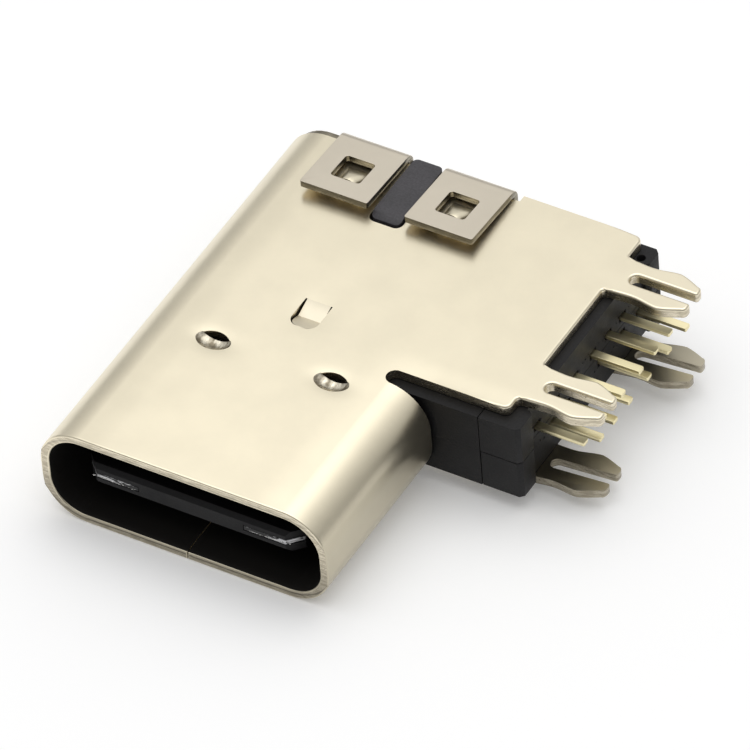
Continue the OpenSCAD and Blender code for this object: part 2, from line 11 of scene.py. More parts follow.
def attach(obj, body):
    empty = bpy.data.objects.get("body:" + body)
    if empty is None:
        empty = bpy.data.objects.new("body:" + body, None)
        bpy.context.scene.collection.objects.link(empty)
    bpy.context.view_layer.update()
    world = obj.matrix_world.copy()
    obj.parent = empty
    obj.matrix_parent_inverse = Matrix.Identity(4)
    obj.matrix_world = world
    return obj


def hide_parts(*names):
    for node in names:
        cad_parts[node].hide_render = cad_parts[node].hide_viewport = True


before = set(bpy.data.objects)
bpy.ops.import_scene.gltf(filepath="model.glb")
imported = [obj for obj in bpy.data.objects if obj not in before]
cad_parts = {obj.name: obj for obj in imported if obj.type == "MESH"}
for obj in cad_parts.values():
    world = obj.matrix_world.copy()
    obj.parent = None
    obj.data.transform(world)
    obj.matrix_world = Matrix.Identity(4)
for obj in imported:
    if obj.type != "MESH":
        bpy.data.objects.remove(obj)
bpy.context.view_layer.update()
scene = bpy.context.scene
MM = 0.001

# ---- camera ----
# A long lens looks down on the socket from its mouth and its board side.
# It is turned a little about its own axis, as a hand-held camera is.
CAMERA_AZIMUTH = math.radians(33.276)
CAMERA_ELEVATION = math.radians(43.548)
CAMERA_ROLL = math.radians(-4.917)
CAMERA_DISTANCE = 286.79 * MM
CAMERA_TARGET = Vector((1.865, 7.071, 0)) * MM

lens = bpy.data.cameras.new("long_lens")
lens.sensor_width = 36
lens.lens = 507.2
lens.clip_start = 10 * MM
lens.clip_end = 2
camera = bpy.data.objects.new("camera", lens)
scene.collection.objects.link(camera)
towards_camera = Vector((math.sin(CAMERA_AZIMUTH) * math.cos(CAMERA_ELEVATION),
                         -math.cos(CAMERA_AZIMUTH) * math.cos(CAMERA_ELEVATION),
                         math.sin(CAMERA_ELEVATION)))
camera.matrix_world = (Matrix.Translation(CAMERA_TARGET + towards_camera * CAMERA_DISTANCE)
                       @ towards_camera.to_track_quat("Z", "Y").to_matrix().to_4x4()
                       @ Matrix.Rotation(CAMERA_ROLL, 4, "Z"))
scene.camera = camera
scene.view_settings.view_transform = "Standard"

# ---- table and studio light ----
# A white table top, under the socket as it lies on its lower tabs and the lip of its mouth.
# A tent of white cloth lights it: bright overhead, dimmer down its walls, and brighter behind than in front.
TABLE_SIZE = 0.6
TABLE_WHITE = 0.90
TABLE_GLOW = 0.16
REST_TABS = Vector((0, 11.16, -1.976)) * MM
REST_LIP = Vector((0, 0.05, -1.58)) * MM
TENT_LEVELS = ((0.0, 0.29), (0.2, 0.34), (0.39, 0.42), (0.545, 0.53),
               (0.69, 0.69), (0.78, 0.98), (0.88, 1.55), (1.0, 1.80))
TENT_BACK = Vector((-0.21, 0.565, 0))


def add_node(tree, kind, **settings):
    made = tree.nodes.new(kind)
    for name, value in settings.items():
        if name in made.inputs:
            made.inputs[name].default_value = value
        else:
            setattr(made, name, value)
    return made


def wire(tree, *pairs):
    for source, target in pairs:
        tree.links.new(source, target)


def sum_up(tree, operation, first, second=None, third=None, clamp=False):
    """A Math node on sockets or plain numbers. Returns its output."""
    made = tree.nodes.new("ShaderNodeMath")
    made.operation = operation
    made.use_clamp = clamp
    for place, value in enumerate((first, second, third)):
        if isinstance(value, (int, float)):
            made.inputs[place].default_value = value
        elif value is not None:
            tree.links.new(value, made.inputs[place])
    return made.outputs[0]


def new_material(name):
    made = bpy.data.materials.new(name)
    made.use_nodes = True
    made.node_tree.nodes.clear()
    return made, made.node_tree


lie = (REST_LIP - REST_TABS).normalized()
table_mesh = bpy.data.meshes.new("table")
side = Vector((1, 0, 0))
table_mesh.from_pydata([REST_TABS + side * x * TABLE_SIZE + lie * y * TABLE_SIZE
                        for x, y in ((-1, 1), (1, 1), (1, -1), (-1, -1))], [], [(3, 2, 1, 0)])
table = bpy.data.objects.new("table", table_mesh)
scene.collection.objects.link(table)
paper, tree = new_material("white_paper")
out = add_node(tree, "ShaderNodeOutputMaterial")
sheet = add_node(tree, "ShaderNodeBsdfDiffuse", Color=(TABLE_WHITE, TABLE_WHITE, TABLE_WHITE, 1))
glow = add_node(tree, "ShaderNodeEmission", Color=(1, 1, 1, 1), Strength=TABLE_GLOW)
both = add_node(tree, "ShaderNodeAddShader")
path = add_node(tree, "ShaderNodeLightPath")
choose = add_node(tree, "ShaderNodeMixShader")
direct = sum_up(tree, "MAXIMUM", sum_up(tree, "MAXIMUM", path.outputs["Is Camera Ray"],
                                        path.outputs["Is Glossy Ray"]), path.outputs["Is Transmission Ray"])
wire(tree, (sheet.outputs[0], both.inputs[0]), (glow.outputs[0], both.inputs[1]),
     (direct, choose.inputs[0]), (sheet.outputs[0], choose.inputs[1]),
     (both.outputs[0], choose.inputs[2]), (choose.outputs[0], out.inputs[0]))
table_mesh.materials.append(paper)

world = bpy.data.worlds.new("tent")
scene.world = world
world.use_nodes = True
tree = world.node_tree
tree.nodes.clear()
out = add_node(tree, "ShaderNodeOutputWorld")
where = add_node(tree, "ShaderNodeTexCoord")
parts = add_node(tree, "ShaderNodeSeparateXYZ")
ramp = add_node(tree, "ShaderNodeValToRGB")
while len(ramp.color_ramp.elements) < len(TENT_LEVELS):
    ramp.color_ramp.elements.new(0.5)
for element, (place, level) in zip(ramp.color_ramp.elements, TENT_LEVELS):
    element.position = place
    element.color = (level, level, level, 1)
tent = add_node(tree, "ShaderNodeBackground")
backward = sum_up(tree, "ADD", sum_up(tree, "MULTIPLY", parts.outputs["X"], TENT_BACK.x),
                  sum_up(tree, "MULTIPLY", parts.outputs["Y"], TENT_BACK.y))
wire(tree, (where.outputs["Generated"], parts.inputs[0]), (parts.outputs["Z"], ramp.inputs[0]),
     (ramp.outputs[0], tent.inputs["Color"]), (sum_up(tree, "ADD", backward, 1.0), tent.inputs["Strength"]),
     (tent.outputs[0], out.inputs[0]))

# ---- shell ----
# One sheet of steel, 0.3 mm thick, stamped, folded round to a seam underneath and plated with warm nickel.
# The punch rolls its upper edges over and leaves the cut faces rough; the lip of the mouth is polished round.
SHEET = 0.30 * MM
FLAT_HALF = 3.17 * MM
FOLD_INSIDE = 1.28 * MM
LIP_ROUND = 0.055 * MM
INNER_LIP = 0.035 * MM
ROLLED_EDGE = 0.05 * MM
ROLLED_WING = 0.075 * MM
LEG_CORNER = 0.08 * MM
SHARP_EDGE = 0.018 * MM
NICKEL = (0.855, 0.78, 0.60)
# Painted shade: how much the flank and the undersides are darkened, and how much more the roots of the lower
# legs.
FLANK_SHADE = 0.64
ROOT_SHADOW_DEPTH = 0.34
CUT_STEEL = (0.52, 0.465, 0.355)
CUT_BRIGHT = (0.78, 0.71, 0.56)
PIT = (0.25, 0.21, 0.15)
LANCE_NICKEL = (0.80, 0.735, 0.585)
# Painted shade: the near-black of the inside of the mouth.
INSIDE_SHADE = (0.012, 0.011, 0.010)
SCORE_DARK = (0.25, 0.215, 0.155)
SCORE_BRIGHT = (0.86, 0.80, 0.66)

# Where its features lie: places and dishes in millimetres across and along, the other limits in metres.
SPRING_PLACE = (1.855, 4.93)
SPRING_DISH = (0.60, 0.36)
SPRING_DEPTH = 0.04 * MM
BOWL_REACH = (0.58, 0.42)
BOWL_HEIGHTS = (1.2 * MM, 1.572 * MM)
LANCE_PLACE = (0.0, 6.98)
LANCE_DISH = (0.62, 0.62)
LANCE_DEPTH = 0.022 * MM
LANCE_HALF = 0.5 * MM
LANCE_ALONG = (6.2 * MM, 7.8 * MM)
LANCE_FLOOR = 0.8 * MM
LOUVRE_ACROSS = (1.15 * MM, 2.1 * MM)
LOUVRE_ALONG = (11.7 * MM, 12.65 * MM)
LOUVRE_FLOOR = 1.3 * MM
LIP_DEPTH = 0.1 * MM
MOUTH_DEPTH = 0.3 * MM
TUNNEL_END = 5.65 * MM
WING_ROOT = 4.6 * MM
WING_FACES = 4.8 * MM
LEG_TIPS = 8.2 * MM
WAVE_HEIGHT = 0.014 * MM
MOTTLE_HEIGHT = 0.0016 * MM

# The places of its materials: outer skin, cut faces, the painted shade inside the mouth, scored bowls and
# bent lance.
OUTER, CUT, MOUTH_SHADE, SCORED, BENT = range(5)


def merged_copy(node):
    """A CAD node's shape as one closed skin, ready for work on its edges."""
    shape = bmesh.new()
    shape.from_mesh(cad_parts[node].data)
    bmesh.ops.remove_doubles(shape, verts=shape.verts, dist=1e-6)
    return shape


def mark_cut_faces(shape, sheet, always=lambda face: False):
    """Faces with no second side of the sheet right behind them are cut faces: they get the second material.
    Faces with something right in front of them, as in a closed seam, don't count."""
    tree = BVHTree.FromBMesh(shape)
    for face in shape.faces:
        middle = face.calc_center_median()
        behind = tree.ray_cast(middle - face.normal * 1e-7, -face.normal, 1.25 * sheet)[0]
        ahead = tree.ray_cast(middle + face.normal * 1e-7, face.normal, 0.02 * MM)[0]
        face.material_index = CUT if (behind is None or always(face)) and ahead is None else OUTER


def join_flats(shape):
    bmesh.ops.dissolve_limit(shape, angle_limit=math.radians(0.6), verts=shape.verts, edges=shape.edges,
                             delimit={"MATERIAL"})


def is_sharp(edge, angle=28):
    return len(edge.link_faces) == 2 and edge.calc_face_angle() > math.radians(angle)


def round_edges(shape, width, segments, chosen=lambda edge: True, angle=28, skin=-1, limit=True):
    """Rounds the sharp edges that are chosen, to the given width.
    Skin is the new faces' material, if it isn't their own. Without the limit, small faces beside an edge
    don't hold the width back."""
    edges = [edge for edge in shape.edges if is_sharp(edge, angle) and chosen(edge)]
    bmesh.ops.bevel(shape, geom=edges, offset=width, offset_type="OFFSET", segments=segments, profile=0.5,
                    affect="EDGES", clamp_overlap=limit, material=skin, loop_slide=True)


def finish_piece(shape, name, nodes, materials, crisp=lambda edge: False, level=None):
    """Turns a finished shape into the piece that stands for the CAD nodes, with even shading on its flats.
    Crisp edges are shaded as hard corners. What lies at the level, above or below, is shaded as dead flat."""
    for face in shape.faces:
        face.smooth = True
    for edge in shape.edges:
        edge.smooth = not crisp(edge)
    mesh = bpy.data.meshes.new(name)
    shape.to_mesh(mesh)
    shape.free()
    for material in materials:
        mesh.materials.append(material)
    piece = bpy.data.objects.new(name, mesh)
    scene.collection.objects.link(piece)
    even = piece.modifiers.new("flats_stay_flat", "WEIGHTED_NORMAL")
    even.weight = 100
    even.keep_sharp = True
    bpy.context.view_layer.update()
    graph = bpy.context.evaluated_depsgraph_get()
    even_mesh = bpy.data.meshes.new_from_object(piece.evaluated_get(graph))
    even_mesh.name = name
    piece.modifiers.clear()
    piece.data = even_mesh
    if level:
        normals = [corner.vector.copy() for corner in even_mesh.corner_normals]
        for face in even_mesh.polygons:
            heights = [even_mesh.vertices[corner].co.z for corner in face.vertices]
            at_level = all(abs(abs(height) - level) < 0.005 * MM for height in heights)
            if at_level and abs(face.normal.z) > 0.999:
                for place in face.loop_indices:
                    normals[place] = Vector((0, 0, math.copysign(1, heights[0])))
        even_mesh.normals_split_custom_set(normals)
    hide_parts(*nodes)
    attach(piece, "root")
    return piece


def new_group(name, inputs, outputs):
    """A shader node group with the named (name, kind, value) inputs and (name, kind) outputs."""
    group = bpy.data.node_groups.new(name, "ShaderNodeTree")
    for title, kind, value in inputs:
        group.interface.new_socket(title, in_out="INPUT", socket_type=kind).default_value = value
    for title, kind in outputs:
        group.interface.new_socket(title, in_out="OUTPUT", socket_type=kind)
    return group, group.nodes.new("NodeGroupInput"), group.nodes.new("NodeGroupOutput")


def add_group(tree, group, **settings):
    made = tree.nodes.new("ShaderNodeGroup")
    made.node_tree = group
    for name, value in settings.items():
        made.inputs[name.replace("_", " ")].default_value = value
    return made


def noise(tree, where, per_mm, detail=2.0, rough=0.5, stretch=None):
    """Noise with so many features to the millimetre, stretched along the axes if asked."""
    if stretch:
        scaled = add_node(tree, "ShaderNodeMapping", Scale=stretch)
        wire(tree, (where, scaled.inputs["Vector"]))
        where = scaled.outputs[0]
    made = add_node(tree, "ShaderNodeTexNoise", Scale=per_mm / MM, Detail=detail, Roughness=rough)
    wire(tree, (where, made.inputs["Vector"]))
    return made.outputs[0]


def span(tree, value, low, high, to_low=0.0, to_high=1.0, kind="SMOOTHSTEP"):
    """Maps a value from one span to another, held at its ends."""
    made = add_node(tree, "ShaderNodeMapRange", interpolation_type=kind)
    for name, number in (("From Min", low), ("From Max", high), ("To Min", to_low), ("To Max", to_high)):
        made.inputs[name].default_value = number
    wire(tree, (value, made.inputs["Value"]))
    return made.outputs[0]


def blend_colors(tree, share, first, second):
    """Mixes two colours, each a socket or a plain colour, by a share from 0 to 1."""
    made = add_node(tree, "ShaderNodeMix", data_type="RGBA")
    wire(tree, (share, made.inputs[0]))
    for socket, value in ((made.inputs[6], first), (made.inputs[7], second)):
        if isinstance(value, tuple):
            socket.default_value = (*value, 1)
        else:
            wire(tree, (value, socket))
    return made.outputs[2]


# The marks of the press and of the plating bath on a sheet: a faint mottle, and the sheet's slow waves.
press_marks, given, result = new_group(
    "press_marks", [("Color", "NodeSocketColor", (*NICKEL, 1)), ("Roughness", "NodeSocketFloat", 0.3),
                    ("Height", "NodeSocketFloat", 0.0)],
    [("Color", "NodeSocketColor"), ("Roughness", "NodeSocketFloat"), ("Normal", "NodeSocketVector")])
tree = press_marks
place = add_node(tree, "ShaderNodeTexCoord").outputs["Object"]
mottle = noise(tree, place, 0.75, detail=2.0, rough=0.5)
grain = noise(tree, place, 8.0, detail=0.0)
waves = noise(tree, place, 0.33, detail=1.0)
darker = add_node(tree, "ShaderNodeVectorMath", operation="SCALE")
tone = sum_up(tree, "ADD", span(tree, mottle, 0.3, 0.7, 0.975, 1.015),
              span(tree, grain, 0.3, 0.7, -0.003, 0.003))
wire(tree, (given.outputs["Color"], darker.inputs[0]), (tone, darker.inputs["Scale"]))
height = sum_up(tree, "ADD", sum_up(tree, "MULTIPLY", waves, WAVE_HEIGHT),
                sum_up(tree, "MULTIPLY", mottle, MOTTLE_HEIGHT))
bump = add_node(tree, "ShaderNodeBump", Strength=1.0, Distance=1.0)
wire(tree, (sum_up(tree, "ADD", height, given.outputs["Height"]), bump.inputs["Height"]),
     (darker.outputs[0], result.inputs["Color"]), (bump.outputs[0], result.inputs["Normal"]),
     (sum_up(tree, "ADD", given.outputs["Roughness"], span(tree, grain, 0.3, 0.7, -0.010, 0.010)),
      result.inputs["Roughness"]))

# How the press has drawn the sheet round the springs and the lance, and how it curves before the rounds.
# The colour is darkened as painted shade on the board-side flank and underneath, and more at the roots of the
# lower legs under the block.
drawn_and_shaded_sheet, given, result = new_group("drawn_and_shaded_sheet", [("Color", "NodeSocketColor", (*NICKEL, 1))],
                                       [("Color", "NodeSocketColor"), ("Height", "NodeSocketFloat")])
tree = drawn_and_shaded_sheet
place = add_node(tree, "ShaderNodeTexCoord").outputs["Object"]
parts = add_node(tree, "ShaderNodeSeparateXYZ")
wire(tree, (place, parts.inputs[0]))
across = sum_up(tree, "MULTIPLY", sum_up(tree, "ABSOLUTE", parts.outputs["X"]), 1 / MM)
along = sum_up(tree, "MULTIPLY", parts.outputs["Y"], 1 / MM)


def dish(tree, across, along, place, reach, depth):
    """The height of a round hollow: deepest at its place, and fading out to nothing round it.
    A negative depth makes it a hill."""
    u = sum_up(tree, "DIVIDE", sum_up(tree, "SUBTRACT", across, place[0]), reach[0])
    v = sum_up(tree, "DIVIDE", sum_up(tree, "SUBTRACT", along, place[1]), reach[1])
    square = sum_up(tree, "ADD", sum_up(tree, "MULTIPLY", u, u), sum_up(tree, "MULTIPLY", v, v))
    return sum_up(tree, "MULTIPLY", sum_up(tree, "EXPONENT", sum_up(tree, "MULTIPLY", square, -1.0)), -depth)


height = sum_up(tree, "ADD", dish(tree, across, along, SPRING_PLACE, SPRING_DISH, SPRING_DEPTH),
                dish(tree, across, along, LANCE_PLACE, LANCE_DISH, LANCE_DEPTH))
right = span(tree, parts.outputs["X"], -0.5 * MM, 0.5 * MM)
bend = sum_up(tree, "ADD", sum_up(tree, "MULTIPLY", span(tree, across, 2.3, 4.0), -0.06 * MM),
              sum_up(tree, "MULTIPLY", span(tree, parts.outputs["X"], -1.2 * MM, -4.2 * MM), -0.035 * MM))
ahead = span(tree, along, 5.0, 6.9, 1.0, 0.0)
left = sum_up(tree, "SUBTRACT", 1.0, right)
bend = sum_up(tree, "MULTIPLY", bend, sum_up(tree, "MULTIPLY_ADD", right, ahead, left))
bow = sum_up(tree, "MULTIPLY", sum_up(tree, "POWER", sum_up(tree, "SUBTRACT", along, 3.0), 2.0), -0.0021 * MM)
# Painted shade: darker on the board-side flank ahead of the wings, on everything underneath, and most at the
# roots of the lower legs.
flank = sum_up(tree, "MULTIPLY", span(tree, across, 4.05, 4.5), ahead)
under = span(tree, parts.outputs["Z"], 0.3 * MM, -0.6 * MM)
roots = sum_up(tree, "MULTIPLY", span(tree, parts.outputs["X"], 5.0 * MM, 6.5 * MM),
               span(tree, parts.outputs["X"], 7.2 * MM, 9.4 * MM, 1.0, 0.0))
root_shadow = sum_up(tree, "MULTIPLY", sum_up(tree, "MULTIPLY", roots, under), -ROOT_SHADOW_DEPTH)
shade_share = sum_up(tree, "MAXIMUM", sum_up(tree, "MULTIPLY", flank, right), under)
shade_scale = span(tree, shade_share, 0.0, 1.0, 1.0, FLANK_SHADE)
toned = add_node(tree, "ShaderNodeVectorMath", operation="SCALE")
wire(tree, (sum_up(tree, "ADD", sum_up(tree, "ADD", height, bend), bow), result.inputs["Height"]),
     (given.outputs["Color"], toned.inputs[0]), (sum_up(tree, "ADD", shade_scale, root_shadow), toned.inputs["Scale"]),
     (toned.outputs[0], result.inputs["Color"]))

# A sheared face: the plating lies thin on a torn surface, in brighter and duller streaks, with dark pits.
# One scratch follows the fold round the mouth. The mouth's lower half and the lower legs are darkened as
# painted shade, and the Shade input darkens a whole face as painted shade.
sheared_face_and_shade, given, result = new_group(
    "sheared_face_and_shade", [("Shade", "NodeSocketFloat", 1.0)],
    [("Color", "NodeSocketColor"), ("Roughness", "NodeSocketFloat"), ("Normal", "NodeSocketVector")])
tree = sheared_face_and_shade
place = add_node(tree, "ShaderNodeTexCoord").outputs["Object"]
parts = add_node(tree, "ShaderNodeSeparateXYZ")
wire(tree, (place, parts.inputs[0]))
tear = noise(tree, place, 4.5, detail=3.0, rough=0.6, stretch=(0.5, 0.5, 3.0))
pits = noise(tree, place, 12.0, detail=1.0)
from_middle = sum_up(tree, "ABSOLUTE", parts.outputs["X"])
past_flat = sum_up(tree, "MAXIMUM", sum_up(tree, "SUBTRACT", from_middle, FLAT_HALF), 0.0)
reach = sum_up(tree, "SQRT", sum_up(tree, "ADD", sum_up(tree, "MULTIPLY", past_flat, past_flat),
                                    sum_up(tree, "MULTIPLY", parts.outputs["Z"], parts.outputs["Z"])))
in_sheet = sum_up(tree, "MULTIPLY", sum_up(tree, "SUBTRACT", reach, FOLD_INSIDE), 1 / SHEET)
wander = span(tree, noise(tree, place, 0.5, detail=2.0), 0.3, 0.7, -0.06, 0.06)
line = sum_up(tree, "ABSOLUTE", sum_up(tree, "SUBTRACT", sum_up(tree, "ADD", in_sheet, wander), 0.42))
ring = span(tree, parts.outputs["Y"], 0.15 * MM, 0.25 * MM, 1.0, 0.0)
scratch = sum_up(tree, "MULTIPLY", span(tree, line, 0.02, 0.14, 0.28, 0.0), ring)
at_leg = span(tree, parts.outputs["X"], 4.6 * MM, 5.2 * MM)
# Painted shade: darker towards the bottom of the mouth's ring and of the lower legs.
low = sum_up(tree, "MULTIPLY", span(tree, parts.outputs["Z"], 0.9 * MM, -1.3 * MM, 0.0, 0.44),
             sum_up(tree, "MAXIMUM", ring, at_leg))
shade = sum_up(tree, "MULTIPLY", sum_up(tree, "SUBTRACT", sum_up(tree, "SUBTRACT", 1.0, low), scratch),
               given.outputs["Shade"])
bump = add_node(tree, "ShaderNodeBump", Strength=1.0, Distance=0.004 * MM)
color = blend_colors(tree, span(tree, tear, 0.38, 0.66), CUT_STEEL, CUT_BRIGHT)
shaded = add_node(tree, "ShaderNodeVectorMath", operation="SCALE")
wire(tree, (blend_colors(tree, span(tree, pits, 0.70, 0.80), color, PIT), shaded.inputs[0]),
     (shade, shaded.inputs["Scale"]), (shaded.outputs[0], result.inputs["Color"]),
     (span(tree, tear, 0.3, 0.7, 0.36, 0.22), result.inputs["Roughness"]), (tear, bump.inputs["Height"]),
     (bump.outputs[0], result.inputs["Normal"]))


def metal(name, group, color=None, roughness=None, drawn=False, shade=None):
    """A metal whose colour, roughness and relief come from one of the groups."""
    made, tree = new_material(name)
    out = add_node(tree, "ShaderNodeOutputMaterial")
    skin = add_node(tree, "ShaderNodeBsdfPrincipled", Metallic=1.0)
    marks = add_group(tree, group)
    if color:
        marks.inputs["Color"].default_value = (*color, 1)
        marks.inputs["Roughness"].default_value = roughness
    if shade:
        marks.inputs["Shade"].default_value = shade
    if drawn:
        form = add_group(tree, drawn_and_shaded_sheet, Color=(*color, 1))
        wire(tree, (form.outputs["Color"], marks.inputs["Color"]),
             (form.outputs["Height"], marks.inputs["Height"]))
    wire(tree, (marks.outputs["Color"], skin.inputs["Base Color"]),
         (marks.outputs["Roughness"], skin.inputs["Roughness"]),
         (marks.outputs["Normal"], skin.inputs["Normal"]), (skin.outputs[0], out.inputs[0]))
    return made


nickel = metal("warm_nickel", press_marks, NICKEL, 0.30, drawn=True)
cut_steel = metal("sheared_steel", sheared_face_and_shade)
# Painted shade: inside the mouth the nickel is swapped for a near-black, dull, non-metallic sheet that stands
# for the shade in there.
shaded_inside, tree = new_material("painted_shade_inside")
out = add_node(tree, "ShaderNodeOutputMaterial")
skin = add_node(tree, "ShaderNodeBsdfPrincipled", Roughness=0.6)
skin.inputs["Base Color"].default_value = (*INSIDE_SHADE, 1)
skin.inputs["Specular IOR Level"].default_value = 0.1
wire(tree, (skin.outputs[0], out.inputs[0]))

# The punch scores the bowls of the springs across. The bright dot in front of each is a painted highlight.
scored_face, given, result = new_group(
    "scored_face", [], [("Color", "NodeSocketColor"), ("Roughness", "NodeSocketFloat"),
                        ("Normal", "NodeSocketVector")])
tree = scored_face
place = add_node(tree, "ShaderNodeTexCoord").outputs["Object"]
parts = add_node(tree, "ShaderNodeSeparateXYZ")
wire(tree, (place, parts.inputs[0]))
scores = noise(tree, place, 4.0, detail=2.0, rough=0.5, stretch=(1.6, 0.8, 1.0))
across = sum_up(tree, "MULTIPLY", sum_up(tree, "ABSOLUTE", parts.outputs["X"]), 1 / MM)
along = sum_up(tree, "MULTIPLY", parts.outputs["Y"], 1 / MM)
# Painted highlight: a bright dot in front of each spring's bowl.
painted_highlight = dish(tree, across, along, (SPRING_PLACE[0] + 0.05, SPRING_PLACE[1] - 0.20), (0.09, 0.08), -1.0)
bump = add_node(tree, "ShaderNodeBump", Strength=1.0, Distance=0.03 * MM)
streaks = sum_up(tree, "ADD", span(tree, scores, 0.36, 0.64, 0.0, 0.75), painted_highlight, clamp=True)
wire(tree, (blend_colors(tree, streaks, SCORE_DARK, SCORE_BRIGHT), result.inputs["Color"]),
     (span(tree, scores, 0.3, 0.7, 0.45, 0.25), result.inputs["Roughness"]), (scores, bump.inputs["Height"]),
     (bump.outputs[0], result.inputs["Normal"]))
scored_steel = metal("scored_steel", scored_face)
bent_nickel = metal("bent_nickel", press_marks, LANCE_NICKEL, 0.48)


def shell_heart(point):
    """The nearest place on the middle line that the shell is folded round."""
    return Vector((max(-FLAT_HALF, min(FLAT_HALF, point.x)), point.y, 0))


def faces_out(face, heart):
    middle = face.calc_center_median()
    return face.normal.dot(middle - heart(middle)) > 0


def at_lip(edge):
    """The outer edges of the mouth."""
    middle_of_sheet = FOLD_INSIDE + SHEET / 2
    return all(end.co.y < 1e-6 and (end.co - shell_heart(end.co)).length > middle_of_sheet
               for end in edge.verts)


def at_inner_lip(edge):
    return max(end.co.y for end in edge.verts) < 1e-6 and not at_lip(edge)


def leg_corner(edge):
    """The upright corners of the fork legs' ends."""
    low, high = edge.verts
    upright = abs((high.co - low.co).normalized().z) > 0.95
    return upright and min(low.co.x, high.co.x) > LEG_TIPS


def rolled(heart):
    """Chooses the edges between the outer skin and a cut face."""
    def chosen(edge):
        kinds = [face.material_index for face in edge.link_faces]
        return sorted(kinds) == [OUTER, CUT] and faces_out(edge.link_faces[kinds.index(OUTER)], heart)
    return chosen


def on_wing(edge):
    """The upper edges of the wings and legs, beyond the tube."""
    return rolled(shell_heart)(edge) and min(end.co.x for end in edge.verts) > WING_ROOT


def hard_corner(edge):
    """What stays sharp after the rounding, as the ends of the rolled edges do in the corners of the legs."""
    return is_sharp(edge, 50)


def upright_on_wing(face):
    return abs(face.normal.z) < 0.3 and face.calc_center_median().x > WING_FACES


def within(value, limits):
    return limits[0] < value < limits[1]


shape = merged_copy("shell")
mark_cut_faces(shape, SHEET, upright_on_wing)
for face in shape.faces:
    if all(abs(abs(corner.co.z) - FOLD_INSIDE - SHEET) < 2e-7 for corner in face.verts):
        face.material_index = OUTER
join_flats(shape)
round_edges(shape, LEG_CORNER, 4, leg_corner, angle=60, limit=False)
round_edges(shape, LIP_ROUND, 4, at_lip, skin=OUTER, limit=False)
round_edges(shape, INNER_LIP, 3, at_inner_lip, skin=OUTER, limit=False)
round_edges(shape, ROLLED_WING, 4, on_wing, skin=OUTER, limit=False)
round_edges(shape, ROLLED_EDGE, 3, rolled(shell_heart), skin=OUTER)
round_edges(shape, SHARP_EDGE, 2)
for face in shape.faces:
    middle = face.calc_center_median()
    front, back = min(corner.co.y for corner in face.verts), max(corner.co.y for corner in face.verts)
    outside = faces_out(face, shell_heart)
    in_mouth = back > LIP_DEPTH and (front < MOUTH_DEPTH or middle.y < TUNNEL_END)
    # Faces inside the mouth get the painted shade.
    if face.material_index == OUTER and in_mouth and not outside:
        face.material_index = MOUTH_SHADE
    beside = ((abs(middle.x) / MM - SPRING_PLACE[0]) / BOWL_REACH[0],
              (middle.y / MM - SPRING_PLACE[1]) / BOWL_REACH[1])
    if within(abs(middle.z), BOWL_HEIGHTS) and math.hypot(*beside) < 1 and outside:
        face.material_index = SCORED
    louvre = within(abs(middle.x), LOUVRE_ACROSS) and within(middle.y, LOUVRE_ALONG)
    if louvre and abs(middle.z) > LOUVRE_FLOOR and outside:
        face.material_index = OUTER
    lance = abs(middle.x) < LANCE_HALF and within(middle.y, LANCE_ALONG) and middle.z > LANCE_FLOOR
    if lance and face.material_index == OUTER and face.normal.z < 0.9995 and outside:
        face.material_index = BENT
finish_piece(shape, "folded_shell", ["shell"],
             [nickel, cut_steel, shaded_inside, scored_steel, bent_nickel], hard_corner, FOLD_INSIDE + SHEET)

# ---- rear cover ----
# A second stamping of the same plated steel, 0.2 mm thick. It closes the shell behind,
# and its four sprung tabs hook their windows over the shell's louvres.
COVER = 0.20 * MM
COVER_NICKEL = (0.66, 0.60, 0.495)
COVER_MIDDLE = 11.4 * MM
TAB_END = 11.35 * MM
TAB_CORNER = 0.17 * MM
PUNCHED_CORNER = 0.11 * MM
ROLLED_COVER = 0.05 * MM
cover_nickel = metal("cover_nickel", press_marks, COVER_NICKEL, 0.30)
# Painted shade: the cover's cut faces, the window walls and the tabs' edges, are darkened to 0.42 of the
# shell's.
cover_cut_shaded = metal("sheared_cover_and_shade", sheared_face_and_shade, shade=0.42)


def cover_heart(point):
    return Vector((point.x, COVER_MIDDLE, 0))


def punched_corner(edge):
    low, high = edge.verts
    upright = abs((high.co - low.co).normalized().z) > 0.95
    return upright and all(face.material_index == CUT for face in edge.link_faces)


def tab_corner(edge):
    """The two upright corners at the free end of each tab."""
    return punched_corner(edge) and max(end.co.y for end in edge.verts) < TAB_END


shape = merged_copy("rear_cover")
mark_cut_faces(shape, COVER)
join_flats(shape)
round_edges(shape, TAB_CORNER, 5, tab_corner, angle=60)
round_edges(shape, PUNCHED_CORNER, 4, punched_corner, angle=60)
round_edges(shape, ROLLED_COVER, 3, rolled(cover_heart), skin=OUTER)
round_edges(shape, SHARP_EDGE, 2)
finish_piece(shape, "cover_plate", ["rear_cover"], [cover_nickel, cover_cut_shaded])

# ---- housing ----
# The moulded core of black glass-filled resin: tongue, neck and flank.
# Its key shows through the shell between the tabs, in a paler, glossier resin.
RESIN = (0.0065, 0.0062, 0.0068)
KEY_RESIN = (0.036, 0.033, 0.038)
KEY_FRONT = 11 * MM
KEY_HEIGHT = 1.3 * MM
MOULDED_EDGE = 0.03 * MM

